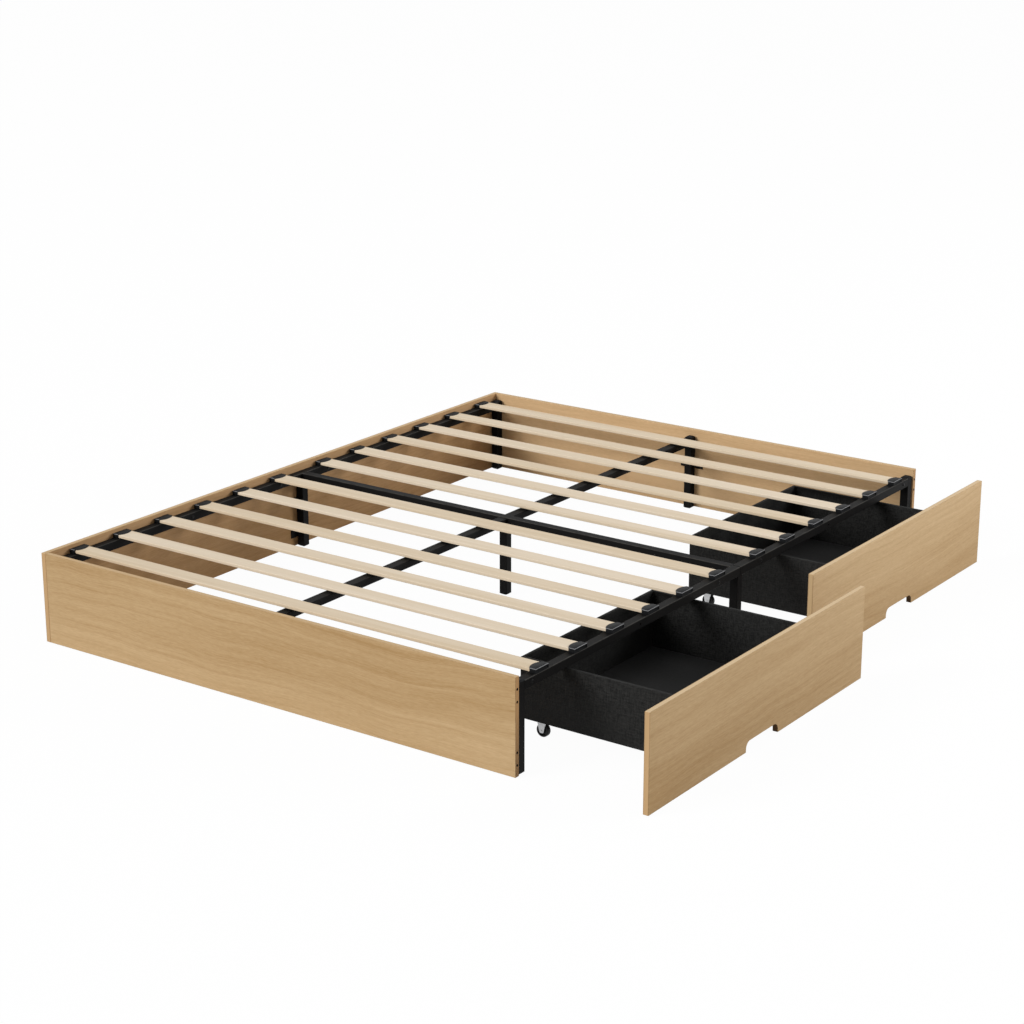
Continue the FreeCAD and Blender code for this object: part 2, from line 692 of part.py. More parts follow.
def board(label, size, corner):
    """Plain board with its size along X, Y and Z and the place of its lowest corner."""
    box = doc.addObject("Part::Box", label)
    box.Label = label
    bind(box, Length=size[0], Width=size[1], Height=size[2])
    return put(box, *corner)


# The fork's plate sits under the box; two cheeks taper down to the riveted axle.
fork = new_body("caster_fork")
top = sketch_on(fork, "XY_Plane", z="places.fork_under")
rectangle(top, "places.fork_half_length", "places.fork_half_width")
pad(fork, top, "dims.fork_plate")
cheek = sketch_on(fork, "XZ_Plane", z="-places.cheek_in")
outline(cheek, [("-places.cheek_foot_half", "-dims.cheek_drop"),
                ("places.cheek_foot_half", "-dims.cheek_drop"),
                ("places.cheek_top_half", "places.fork_under"),
                ("-places.cheek_top_half", "places.fork_under")])
mirrored(fork, pad(fork, cheek, "dims.cheek_thick", against=True), "XZ_Plane")
pin_circle = sketch_on(fork, "XZ_Plane")
circle(pin_circle, "dims.axle_radius")
axle = pad(fork, pin_circle, "places.axle_length", both_ways=True)
CHEEK_DROP = number("dims.cheek_drop")


def cheek_corner(edge):
    lowest = edge.BoundBox.ZMax < -CHEEK_DROP * (1 - NEAR_SHARE)
    return lowest and abs(edge.Vertexes[-1].Y - edge.Vertexes[0].Y) > 0


fillet(fork, axle, "dims.cheek_radius", cheek_corner)


def wheel(label, x, y):
    body = new_body(label)
    section = sketch_on(body, "XY_Plane")
    half = [("places.wheel_bore", "places.wheel_half"), ("dims.hub_radius", "places.wheel_half"),
            ("dims.hub_radius", "places.wheel_web_half"), ("dims.rim_radius", "places.wheel_web_half"),
            ("dims.rim_radius", "places.wheel_half"), ("places.wheel_shoulder", "places.wheel_half"),
            ("dims.wheel_radius", "places.tread_half")]
    outline(section, half + [(radius, f"-{across}") for radius, across in reversed(half)])
    turned = body.newObject("PartDesign::Revolution", f"{label}_turned")
    turned.Profile = section
    turned.ReferenceAxis = (section, ["V_Axis"])
    turned.Angle = 360
    return put(body, x, y, "dims.wheel_radius")


def drawer(name, end, toward):
    """Adds the nodes of one drawer at the foot or the head end."""
    front_x = f"places.front_{end}_x"
    middle = signed(toward, "places.front_mid_y")
    low_y = f"{middle} - places.box_half"
    back_x = f"{front_x} - dims.box_depth"
    nodes.append(drawer_front(f"{name}_front", front_x, toward))
    inner_size = ("dims.board_thick", "dims.box_width", "places.inner_front_rise")
    nodes.append(board(f"{name}_inner_front", inner_size,
                       (f"{front_x} - dims.board_thick", low_y, "places.inner_front_low")))
    side_size = ("places.side_length", "dims.board_thick", "dims.box_height")
    nodes.append(board(f"{name}_side_foot", side_size, (back_x, low_y, "dims.box_lift")))
    nodes.append(board(f"{name}_side_head", side_size,
                       (back_x, f"{middle} + places.box_half - dims.board_thick", "dims.box_lift")))
    nodes.append(board(f"{name}_back", ("dims.board_thick", "places.box_clear", "dims.box_height"),
                       (back_x, f"{low_y} + dims.board_thick", "dims.box_lift")))
    bottom_size = ("places.bottom_length", "places.box_clear", "dims.bottom_thick")
    nodes.append(board(f"{name}_bottom", bottom_size,
                       (f"{back_x} + dims.board_thick", f"{low_y} + dims.board_thick", "dims.box_lift")))
    front = number(front_x)
    reach_x = {"back": f"{back_x} + dims.caster_end", "front": f"{front_x} - dims.caster_end"}
    at_x = {"back": front - number("dims.box_depth") + number("dims.caster_end"),
            "front": front - number("dims.caster_end")}
    offset = number("places.box_half") - number("dims.caster_side")
    fork_spots = []
    for row, expression in reach_x.items():
        for side, direction in ENDS.items():
            across = f"{middle} {'+' if direction > 0 else '-'} (places.box_half - dims.caster_side)"
            nodes.append(wheel(f"{name}_wheel_{row}_{side}", expression, across))
            across_y = number(middle) + direction * offset
            fork_spots.append(spot(at_x[row], across_y, number("dims.wheel_radius")))
    nodes.append(group(f"{name}_caster_forks", fork, fork_spots))


drawer("drawer_1", "foot", -1)
drawer("drawer_2", "head", 1)

doc.recompute()
for thing in doc.Objects:
    if "Invalid" in thing.State or "Error" in thing.State:
        raise ValueError(f"{thing.Label}: {thing.State}")
for node in nodes:
    if node.Shape.isNull() or not node.Shape.isValid():
        raise ValueError(f"{node.Label}: no valid shape")

os.makedirs("parts", exist_ok=True)
for node in nodes:
    node.Shape.exportStep(f"parts/{node.Label}.step")
    box = node.Shape.BoundBox
    print(f"{node.Label:26s} solids {len(node.Shape.Solids):2d}  volume {node.Shape.Volume / 1000:9.2f} cm3  "
          f"x {box.XMin:8.1f} {box.XMax:8.1f}  y {box.YMin:8.1f} {box.YMax:8.1f}  "
          f"z {box.ZMin:6.1f} {box.ZMax:6.1f}")
print(len(nodes), "nodes")
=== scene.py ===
# %% [markdown]
# # A storage platform bed
# This lesson dresses the solid model of a low bed: three oak-look panels round a black steel
# frame, twelve pale slats held by plastic caps, and two rolling drawers covered with black foil.
# The solid model is loaded first, because every piece made later has to sit on it.

# %% Load the solid model
import math
from collections import namedtuple

import bmesh
import bpy
from mathutils import Matrix, Vector


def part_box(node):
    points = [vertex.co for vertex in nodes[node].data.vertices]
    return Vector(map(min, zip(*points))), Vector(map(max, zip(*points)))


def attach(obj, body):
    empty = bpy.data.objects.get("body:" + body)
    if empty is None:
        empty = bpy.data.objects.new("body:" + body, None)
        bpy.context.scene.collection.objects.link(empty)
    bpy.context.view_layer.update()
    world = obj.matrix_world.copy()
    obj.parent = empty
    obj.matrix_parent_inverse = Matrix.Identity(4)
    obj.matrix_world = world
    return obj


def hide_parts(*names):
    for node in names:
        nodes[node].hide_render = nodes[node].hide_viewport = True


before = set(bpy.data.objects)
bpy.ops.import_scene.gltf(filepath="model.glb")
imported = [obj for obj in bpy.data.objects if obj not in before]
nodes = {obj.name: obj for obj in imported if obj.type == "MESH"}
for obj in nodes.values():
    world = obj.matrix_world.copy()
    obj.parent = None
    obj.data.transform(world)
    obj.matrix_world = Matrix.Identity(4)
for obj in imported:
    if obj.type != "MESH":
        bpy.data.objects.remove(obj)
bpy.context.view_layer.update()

scene = bpy.context.scene

# %% [markdown]
# ## Shader arithmetic
# A finish is a small program that runs at every point of a surface. Wiring it by hand takes many
# nodes, so a socket is wrapped in a class whose operators add the Math nodes, and `1 - mask`
# reads as it is meant. Everything that isn't arithmetic goes through one method, `node`, which
# sets a node's options, then its inputs.


# %% A reading that can be reckoned with
class Reading:
    """A value in a node tree; arithmetic on it adds Math nodes."""

    def __init__(self, wiring, socket):
        self.wiring = wiring
        self.socket = socket

    def output(self, name):
        """Another output of the same node."""
        return Reading(self.wiring, self.socket.node.outputs[name])

    def reckon(self, operation, *values):
        """Adds one Math node."""
        return self.wiring.node("ShaderNodeMath", {"operation": operation}, dict(enumerate(values)))

    def __add__(self, other):
        return self.reckon("ADD", self, other)

    def __radd__(self, other):
        return self.reckon("ADD", other, self)

    def __sub__(self, other):
        return self.reckon("SUBTRACT", self, other)

    def __rsub__(self, other):
        return self.reckon("SUBTRACT", other, self)

    def __mul__(self, other):
        return self.reckon("MULTIPLY", self, other)

    def __rmul__(self, other):
        return self.reckon("MULTIPLY", other, self)

    def __pow__(self, other):
        return self.reckon("POWER", self, other)

    def __abs__(self):
        return self.reckon("ABSOLUTE", self)

    def __gt__(self, other):
        return self.reckon("GREATER_THAN", self, other)

    def __lt__(self, other):
        return self.reckon("LESS_THAN", self, other)


special = [name for name in vars(Reading) if name.startswith("__") and callable(vars(Reading)[name])]
print("a reading knows", len(special), "special methods")


# %% Node trees and finishes
class Wiring:
    """A node tree with one method that adds nodes."""

    def __init__(self, tree):
        self.tree = tree

    def wire(self, socket, value):
        """Joins a reading to a socket, or sets the socket's own value."""
        if isinstance(value, Reading):
            self.tree.links.new(value.socket, socket)
        else:
            socket.default_value = value

    def node(self, kind, settings=None, inputs=None, output=0):
        """Adds a node; the two stops of a ramp are pairs of place and level."""
        made = self.tree.nodes.new(kind)
        for name, value in (settings or {}).items():
            if name == "stops":
                for stop, (place, level) in zip(made.color_ramp.elements, value):
                    stop.position = place
                    stop.color = (level, level, level, 1.0)
            else:
                setattr(made, name, value)
        for name, value in (inputs or {}).items():
            self.wire(made.inputs[name], value)
        return Reading(self, made.outputs[output])


class Finish(Wiring):
    """A material with its shader and the object's own coordinates, in metres."""

    def __init__(self, name, **constants):
        self.material = bpy.data.materials.new(name)
        self.material.use_nodes = True
        super().__init__(self.material.node_tree)
        self.shader = self.tree.nodes["Principled BSDF"]
        self.feed(**constants)
        self.place = self.node("ShaderNodeTexCoord", output="Object")
        split = self.node("ShaderNodeSeparateXYZ", None, {0: self.place})
        self.axis = {name: split.output(name) for name in "XYZ"}

    def feed(self, **inputs):
        """Sets the shader's own sockets, or joins readings to them."""
        for name, value in inputs.items():
            self.wire(self.shader.inputs[name.replace("_", " ")], value)


print("finishes start from", Finish.__name__)

# %% [markdown]
# ## Tools that every finish uses
# Wood, foil and paint all start from noise that is stretched along one direction, from a curve
# that decides where the noise counts, and from a small relief that catches the light. The
# coordinates are in metres, so a scale of 900 means features of about a millimetre. Colours are
# written as they look on a screen, from 0 to 255, and turned into amounts of light by the
# standard screen curve.

# %% Colours
SCREEN_STEPS = 255
CURVE_KNEE = 0.04045
CURVE_SLOPE = 12.92
CURVE_LIFT = 0.055
CURVE_POWER = 2.4


def linear(step):
    """The amount of light that a screen step stands for."""
    share = step / SCREEN_STEPS
    if share <= CURVE_KNEE:
        return share / CURVE_SLOPE
    return ((share + CURVE_LIFT) / (1 + CURVE_LIFT)) ** CURVE_POWER


def colour(red, green, blue):
    """A shader's colour from screen steps."""
    return (linear(red), linear(green), linear(blue), 1.0)


print("a middle grey is", round(colour(128, 128, 128)[0], 3))

# %% Noise, curve, blend and relief
NOISE_ROUGHNESS = 0.55
NOISE_MIDDLE = 0.5
MIX_SHARE = 0
MIX_FIRST = 6
MIX_SECOND = 7
MIX_RESULT = 2


def noise(finish, scale, shift=(0, 0, 0), detail=3.0, place=None):
    """Noise with one scale for all directions, or one each for X, Y and Z."""
    scales = scale if isinstance(scale, tuple) else (scale, scale, scale)
    spread = finish.node("ShaderNodeMapping", None,
                         {"Vector": place or finish.place, "Scale": scales, "Location": shift})
    return finish.node("ShaderNodeTexNoise", None,
                       {"Vector": spread, "Scale": 1.0, "Detail": detail,
                        "Roughness": NOISE_ROUGHNESS})


def point(finish, x, y, z):
    """A place put together from three readings or numbers."""
    return finish.node("ShaderNodeCombineXYZ", None, {"X": x, "Y": y, "Z": z})


def curve(finish, reading, *stops):
    """Reshapes a reading by two pairs of place and level."""
    return finish.node("ShaderNodeValToRGB", {"stops": stops}, {"Fac": reading})


def blend(finish, share, first, second):
    """Mixes two colours."""
    return finish.node("ShaderNodeMix", {"data_type": "RGBA"},
                       {MIX_SHARE: share, MIX_FIRST: first, MIX_SECOND: second}, MIX_RESULT)


def relief(finish, height, depth, strength):
    """Turns a height reading into a normal; depth is in metres."""
    return finish.node("ShaderNodeBump", None,
                       {"Height": height, "Distance": depth, "Strength": strength})


print("a blend takes its colours from sockets", MIX_FIRST, "and", MIX_SECOND)


# %% Solid nodes and their finishes
def dress(node, finish):
    """Gives a solid node its finish."""
    for slot in nodes[node].material_slots:
        slot.material = finish.material


def span(node, axis):
    """A solid node's lowest and highest place along an axis."""
    low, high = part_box(node)
    return low["XYZ".index(axis)], high["XYZ".index(axis)]


def between(reading, start, end):
    """One where a reading lies between two limits, else zero."""
    return (reading > start) * (reading < end)


print("the side panel lies at Y", [round(limit, 4) for limit in span("side_panel", "Y")])

# %% [markdown]
# ## Oak-look foil
# The panels are chipboard covered with a printed oak foil: faint growth rings that open into long
# arches, slow changes of tone, fine fibres, a few darker veins and short pores. An arch is a
# contour line of a bowl that slopes along the board. Real rings are never evenly spaced, so noise
# is read along the distance from the arch's middle, which bends the streaks round the arch. Each
# layer of the print is noise with its own stretch along and across the board, and the layers that
# make its tone are added with weights.

# %% Oak colours
OAK_LIGHT = colour(210, 181, 140)
OAK_DEEP = colour(171, 138, 94)
OAK_PORE = colour(146, 110, 72)
# Painted shade: the side panel's oak, redder and deeper inside the bed.
SIDE_PAINTED_SHADE_PALE = colour(207, 169, 127)
SIDE_PAINTED_SHADE_DEEP = colour(165, 127, 83)
# Painted light: the head panel's oak, lighter and warmer under the slats.
HEAD_PAINTED_LIGHT_PALE = colour(217, 183, 140)
HEAD_PAINTED_LIGHT_DEEP = colour(178, 142, 97)
OAK_BAND = colour(193, 161, 117)
# Painted light: the paler band on top of a drawer front.
OAK_TOP_PAINTED_LIGHT = colour(217, 191, 153)
OAK_END = colour(182, 141, 96)
OAK_SEAM = colour(138, 104, 70)
# The notch wall is raw board, darkened further by painted shade.
NOTCH_CORE_AND_SHADE = colour(108, 82, 58)
NOTCH_CHIP_AND_SHADE = colour(128, 100, 72)
# Painted shade inside the bores and on the lips round them.
BORE_PAINTED_SHADE = colour(14, 11, 9)
BORE_PAINTED_SHADE_MOTTLE = colour(28, 21, 16)
print("light oak is", [round(value, 2) for value in OAK_LIGHT[:3]])

# %% The oak print
RING_REACH = 0.024
RING_RUN = 0.6
RING_START = 2.5
RING_WANDER = 0.09
SHEET_WANDER = 0.08
ARC_STOPS = ((0.56, 0.0), (0.72, 1.0))
VEIN_STOPS = ((0.64, 0.0), (0.8, 1.0))
PORE_STOPS = ((0.64, 0.0), (0.74, 1.0))
# For each layer: its scales, its shift and its detail.
PRINT_LAYERS = {"wander": ((1.6, 1.5, 1), (0, 0, 0), 2.0),
                "rings": ((2.6, 2.0, 1), (0, 0, 0), 3.0),
                "arcs": ((5.5, 1.2, 1), (4.0, 0, 0), 2.0),
                "tone": ((1.1, 10.0, 1), (1.0, 9.0, 0), 3.0),
                "streak": ((3.0, 75.0, 1), (5.0, 0, 0), 3.0),
                "fibre": ((9.0, 420.0, 1), (2.0, 0, 0), 2.0),
                "fleck": ((55.0, 400.0, 1), (0, 6.0, 0), 2.0),
                "vein": ((0.9, 46.0, 1), (8.0, 3.0, 0), 2.0),
                "pores": ((38.0, 1500.0, 1), (0, 0, 0), 1.0)}
PRINT_WEIGHTS = {"rings": 0.6, "arcs": 0.17, "tone": 0.65, "streak": 0.2, "fibre": 0.34,
                 "fleck": 0.6, "vein": 0.18}
PRINT_LEVEL = 0.77


def oak_print(finish, board):
    """Readings of the print: how deep its tone is, and where fibres and pores lie."""
    along = finish.axis[board.grain]
    height = finish.axis["Z"]
    tip_along, tip_height = board.tip

    def layer(name, place):
        scale, shift, detail = PRINT_LAYERS[name]
        return noise(finish, scale, shift, detail, place)

    start = along + board.seed
    wander = layer("wander", point(finish, start, height, board.seed))
    sheet = point(finish, start, height + wander * SHEET_WANDER, board.seed)
    offset = height - tip_height + (wander - NOISE_MIDDLE) * RING_WANDER
    slope = (along - tip_along) * (board.opening / RING_RUN)
    bowl = (offset * (1 / RING_REACH)) ** 2 - slope + RING_START
    distance = bowl.reckon("MAXIMUM", bowl, 0.0) ** 0.5
    arches = point(finish, distance, along, board.seed)
    layers = {name: layer(name, sheet) for name in ("tone", "streak", "fibre", "fleck")}
    layers["rings"] = layer("rings", arches)
    layers["arcs"] = curve(finish, layer("arcs", arches), *ARC_STOPS)
    layers["vein"] = curve(finish, layer("vein", sheet), *VEIN_STOPS)
    shade = offset * board.lean - PRINT_LEVEL
    for name, weight in PRINT_WEIGHTS.items():
        shade = shade + layers[name] * weight
    pores = curve(finish, layer("pores", sheet), *PORE_STOPS)
    return shade, layers["fibre"], pores


print("the oak print has", len(PRINT_LAYERS), "layers of noise")

# %% [markdown]
# ## Edges, bores and notches
# Edges carry a band with a hairline seam on each side. Place across the thickness tells an edge
# from a face, so no extra mesh is needed. Inside the dowel bores the board is painted nearly black
# as shade, and so is a narrow lip round each bore in the end faces. A drawer front's finger notch
# is cut through the band and shows the raw board, darkened further by painted shade.

# %% Bands on the edges
BAND_INSET = 0.0009
SEAM_INSET = 0.002
END_REACH = 0.0003
BAND_ACROSS = 520.0
BAND_ALONG = 5.0
TOP_PAINTED_LIGHT_SHARE = 0.8


def edge_masks(finish, board):
    """Where a board shows its edges, the seams beside its band, and its end faces."""
    across = finish.axis[board.thick]
    along = finish.axis[board.grain]
    start, end = span(board.node, board.thick)
    first, last = span(board.node, board.grain)
    on_edge = between(across, start + BAND_INSET, end - BAND_INSET)
    seam = on_edge - between(across, start + SEAM_INSET, end - SEAM_INSET)
    ends = (along > last - END_REACH) + (along < first + END_REACH)
    return on_edge, seam, ends


def edge_band(finish, board, ends):
    """The band's colour, with painted light on top of a drawer front, and browner on end faces."""
    scales = tuple(BAND_ACROSS if axis == board.thick else BAND_ALONG for axis in "XYZ")
    band = blend(finish, noise(finish, scales), OAK_BAND, OAK_LIGHT)
    if board.notched:
        # Painted light on the top face of a drawer front.
        top = finish.axis["Z"] > span(board.node, "Z")[1] - END_REACH
        band = blend(finish, top * TOP_PAINTED_LIGHT_SHARE, band, OAK_TOP_PAINTED_LIGHT)
    return blend(finish, ends * board.dull, band, OAK_END)


print("a band starts", BAND_INSET * 1000, "mm from the face")

# %% Bores and notches
BORE_MIDDLE = 0.128
BORE_SPREAD = 0.08
BORE_PITCH = 0.032
BORE_RIM = 0.0036
BORE_MARGIN = 0.006
NOTCH_HALF = 0.078
NOTCH_HEIGHT = 0.03


def bore_shade_mask(finish, board, on_edge, ends):
    """The walls of the dowel bores, and the lips round those in the end faces, where shade is painted."""
    height = finish.axis["Z"]
    low, high = span(board.node, "Z")
    inside = between(height, low + BORE_MARGIN, high - BORE_MARGIN)
    mask = on_edge * inside * (1 - ends)
    if board.grain == "X":
        apart = abs(abs(abs(height - BORE_MIDDLE) - BORE_SPREAD) - BORE_PITCH / 2)
        aside = finish.axis[board.thick] - sum(span(board.node, board.thick)) / 2
        mask = mask + ends * (apart * apart + aside * aside < BORE_RIM ** 2)
    return mask


def notch_mask(finish, board, on_edge):
    """The wall of a drawer front's finger notch."""
    middle = sum(span(board.node, "Y")) / 2
    beside = abs(finish.axis["Y"] - middle) < NOTCH_HALF
    return on_edge * beside * (finish.axis["Z"] < NOTCH_HEIGHT)


print("a bore's lip is", round(2000 * BORE_RIM, 1), "mm wide")

# %% Oak foil on a board
OAK_SHINE = 0.13
PORE_SHARE = 0.22
SEAM_SHARE = 0.5
CHIP_AND_MOTTLE_SCALE = 900
OAK_ROUGH = 0.46
FIBRE_ROUGH = 0.14
PORE_ROUGH = 0.1
RAW_AND_SHADED_ROUGH = 0.3
FIBRE_RISE = 0.5
PORE_SINK = 0.6
OAK_RELIEF = 0.00012
OAK_RELIEF_SHARE = 0.5


def oak_foil(board):
    """Oak print on a board, with banded edges, a notch wall of raw board with painted shade, and bores
    painted dark as shade.
    """
    finish = Finish(f"oak_{board.node}", Specular_IOR_Level=OAK_SHINE)
    shade, fibre, pores = oak_print(finish, board)
    depth = board.depth - finish.axis[board.grain] * board.drift
    face = blend(finish, shade + depth, board.light, board.deep)
    face = blend(finish, pores * PORE_SHARE, face, OAK_PORE)
    on_edge, seam, ends = edge_masks(finish, board)
    surface = blend(finish, on_edge, face, edge_band(finish, board, ends))
    surface = blend(finish, seam * SEAM_SHARE, surface, OAK_SEAM)
    chips_and_mottle = noise(finish, CHIP_AND_MOTTLE_SCALE, detail=2.0)
    # Painted shade: a notch wall is the raw board darkened further, and the bores are painted nearly
    # black.
    if board.notched:
        raw_and_shaded = notch_mask(finish, board, on_edge)
        core_and_shade = blend(finish, chips_and_mottle, NOTCH_CORE_AND_SHADE, NOTCH_CHIP_AND_SHADE)
    else:
        raw_and_shaded = bore_shade_mask(finish, board, on_edge, ends)
        core_and_shade = blend(finish, chips_and_mottle, BORE_PAINTED_SHADE, BORE_PAINTED_SHADE_MOTTLE)
    rough = OAK_ROUGH + fibre * FIBRE_ROUGH + pores * PORE_ROUGH + raw_and_shaded * RAW_AND_SHADED_ROUGH
    height = fibre * FIBRE_RISE - pores * PORE_SINK
    finish.feed(Base_Color=blend(finish, raw_and_shaded, surface, core_and_shade), Roughness=rough,
                Normal=relief(finish, height, OAK_RELIEF, OAK_RELIEF_SHARE))
    return finish


print("oak foil shines at", OAK_SHINE)

# %% [markdown]
# ## Five oak boards
# Each board has a print of its own. A row names the axis its grain runs along and the axis of its
# thickness, where its arch starts, as a place along the board and a height, and to which end the
# arch opens. Lean darkens a board upwards, or downwards where it is negative: on the foot it is part
# of the print, on the head the lighter lower part is painted light under the slats, on the side the
# darker lower part is painted shade, and the drawer fronts are darker towards the bottom. Depth
# darkens all over, where the head's lighter depth is painted light and the side's painted shade,
# and drift darkens towards the foot end. Dull is how brown the end faces are. The two boards seen
# from inside have lit and shaded copies of the oak: the head's lighter and warmer as painted light,
# the side's redder and deeper as painted shade.

# %% Oak boards
Board = namedtuple("Board", ("node", "grain", "thick", "tip", "opening", "lean", "seed", "depth",
                             "drift", "dull", "light", "deep", "notched"),
                   defaults=(0.0, 0.9, OAK_LIGHT, OAK_DEEP, False))
OAK_BOARDS = (
    Board("foot_panel", "X", "Y", tip=(-0.36, 0.14), opening=1, lean=1.2, seed=3.7, depth=0.17),
    # The head's tones, its lighter depth and its lean are painted light under the slats.
    Board("head_panel", "X", "Y", tip=(0.3, 0.14), opening=-1, lean=1.5, seed=11.2, depth=-0.25,
          light=HEAD_PAINTED_LIGHT_PALE, deep=HEAD_PAINTED_LIGHT_DEEP),
    # The side's tones, its depth and its lean are painted shade.
    Board("side_panel", "Y", "X", tip=(-0.4, 0.11), opening=1, lean=-1.5, seed=21.9, depth=0.2,
          dull=0.5, light=SIDE_PAINTED_SHADE_PALE, deep=SIDE_PAINTED_SHADE_DEEP),
    Board("drawer_1_front", "Y", "X", tip=(-0.3, 0.2), opening=-1, lean=-1.4, seed=31.4,
          depth=-0.02, drift=0.22, dull=0.5, notched=True),
    Board("drawer_2_front", "Y", "X", tip=(0.4, 0.05), opening=1, lean=-1.8, seed=43.8,
          depth=0.26, dull=0.0, notched=True))
for board in OAK_BOARDS:
    dress(board.node, oak_foil(board))
print("oak foil on", len(OAK_BOARDS), "boards")

# %% [markdown]
# ## Slat wood
# The slats are thin layers of pale wood glued flat, sanded and left bare. From above they show
# straight fine fibres and a few darker streaks; along their long edges the glue lines show as
# thin stripes. The stripes follow height alone and are kept to the edges, so the flat top stays
# plain. No two slats are equally pale.

# %% Pale layered wood
SLAT_PALE = colour(230, 214, 191)
SLAT_WARM = colour(215, 195, 165)
SLAT_GLUE = colour(188, 162, 126)
SLAT_SHINE = 0.3
SLAT_FIBRE = (5.0, 420.0, 260.0)
SLAT_TONE = (1.1, 38.0, 30.0)
SLAT_FLECK = (16.0, 900.0, 500.0)
FLECK_SHIFT = (0, 4.0, 0)
FLECK_STOPS = ((0.64, 0.0), (0.74, 1.0))
TONE_STOPS = ((0.3, 0.0), (0.7, 1.0))
GLUE_STOPS = ((0.0, 1.0), (0.08, 0.0))
GLUE_PLACE = 0.5
TONE_SHARE = 0.7
FIBRE_SHARE = 0.8
WOOD_LEVEL = 0.3
FLECK_SHARE = 0.2
GLUE_SHARE = 0.4
SLAT_LAYER = 0.0018
SLAT_ARRIS = 0.0008
SLAT_ROUGH = 0.52
SLAT_FIBRE_ROUGH = 0.16
FLECK_SINK = 0.5
SLAT_RELIEF = 0.00015
SLAT_RELIEF_SHARE = 0.45


def glue_lines(finish, slat):
    """Stripes between the layers, along the slat's long edges."""
    height = finish.axis["Z"]
    start, end = span(slat, "Y")
    layer = height.reckon("FRACT", (height - span(slat, "Z")[0]) * (1 / SLAT_LAYER))
    on_edge = abs(finish.axis["Y"] - (start + end) / 2) > (end - start) / 2 - SLAT_ARRIS
    return curve(finish, abs(layer - GLUE_PLACE), *GLUE_STOPS) * on_edge


def slat_wood(name, seed, depth=0.0, slat=None):
    """Straight-grained wood along X; depth darkens it, and a slat has glue lines."""
    finish = Finish(name, Specular_IOR_Level=SLAT_SHINE)
    sheet = point(finish, finish.axis["X"] + seed, finish.axis["Y"], finish.axis["Z"])
    fibre = noise(finish, SLAT_FIBRE, place=sheet)
    tone = curve(finish, noise(finish, SLAT_TONE, place=sheet), *TONE_STOPS)
    fleck = curve(finish, noise(finish, SLAT_FLECK, FLECK_SHIFT, 1.0, sheet), *FLECK_STOPS)
    share = tone * TONE_SHARE + fibre * FIBRE_SHARE - WOOD_LEVEL + depth
    surface = blend(finish, share, SLAT_PALE, SLAT_WARM)
    surface = blend(finish, fleck * FLECK_SHARE, surface, SLAT_GLUE)
    if slat:
        surface = blend(finish, glue_lines(finish, slat) * GLUE_SHARE, surface, SLAT_GLUE)
    finish.feed(Base_Color=surface, Roughness=SLAT_ROUGH + fibre * SLAT_FIBRE_ROUGH,
                Normal=relief(finish, fibre - fleck * FLECK_SINK, SLAT_RELIEF, SLAT_RELIEF_SHARE))
    return finish


print("a slat's layers are", SLAT_LAYER * 1000, "mm thick")

# %% Twelve slats and the dowels
SLAT_SPREAD = 0.3
SLAT_TURN = 2.4
SLAT_TURN_START = 1.6
SLAT_SEED_STEP = 1.7
DOWEL_SEED = 5.0
slats = sorted(name for name in nodes if name.startswith("slat_") and name[-1].isdigit())
for number, slat in enumerate(slats):
    depth = SLAT_SPREAD * math.sin(SLAT_TURN * number + SLAT_TURN_START)
    dress(slat, slat_wood(f"wood_{slat}", SLAT_SEED_STEP * number, depth, slat))
dress("panel_dowels", slat_wood("wood_dowels", DOWEL_SEED))
print("slat wood on", len(slats), "slats and the dowels")

# %% [markdown]
# ## Powder-coated steel
# The tubes, legs and plates have a satin black powder coat with a fine orange-peel relief. The
# rails and the crossbar have a painted highlight along their upper edges, a paler colour for the
# light on their corners. Those edges lie near the limits of a tube's box, so the box finds them.

# %% Powder coat
STEEL_DEEP = colour(9, 9, 10)
STEEL_PALE = colour(18, 17, 16)
# Painted highlight for the upper edges of the rails and the crossbar.
STEEL_EDGE_HIGHLIGHT = colour(64, 62, 59)
STEEL_SHINE = 0.075
STEEL_ROUGH = 0.46
HIGHLIGHT_REACH = 0.0018
HIGHLIGHT_SCALE = 25
HIGHLIGHT_STOPS = ((0.3, 0.4), (0.6, 1.0))
PEEL_SCALE = 650
PEEL_ROUGH = 0.16
PEEL_RELIEF = 0.0002
PEEL_RELIEF_SHARE = 0.35
CLOUD_SCALE = 9
CLOUD_ROUGH = 0.06


def painted_edge_highlight(finish, tube, run):
    """Painted highlight on the upper long edges of a tube that runs along an axis, broken into patches by
    noise.
    """
    mask = curve(finish, noise(finish, HIGHLIGHT_SCALE), *HIGHLIGHT_STOPS)
    mask = mask * (finish.axis["Z"] > sum(span(tube, "Z")) / 2)
    for axis in "XYZ".replace(run, ""):
        start, end = span(tube, axis)
        from_middle = abs(finish.axis[axis] - (start + end) / 2)
        mask = mask * (from_middle > (end - start) / 2 - HIGHLIGHT_REACH)
    return mask


def powder_coat(name, tube=None, run=None):
    """Satin black; a tube that runs along an axis has a painted highlight on its upper edges."""
    finish = Finish(name, Specular_IOR_Level=STEEL_SHINE)
    peel = noise(finish, PEEL_SCALE, detail=2.0)
    cloud = noise(finish, CLOUD_SCALE)
    surface = blend(finish, cloud, STEEL_DEEP, STEEL_PALE)
    if tube:
        surface = blend(finish, painted_edge_highlight(finish, tube, run), surface, STEEL_EDGE_HIGHLIGHT)
    finish.feed(Base_Color=surface, Roughness=STEEL_ROUGH + peel * PEEL_ROUGH + cloud * CLOUD_ROUGH,
                Normal=relief(finish, peel, PEEL_RELIEF, PEEL_RELIEF_SHARE))
    return finish


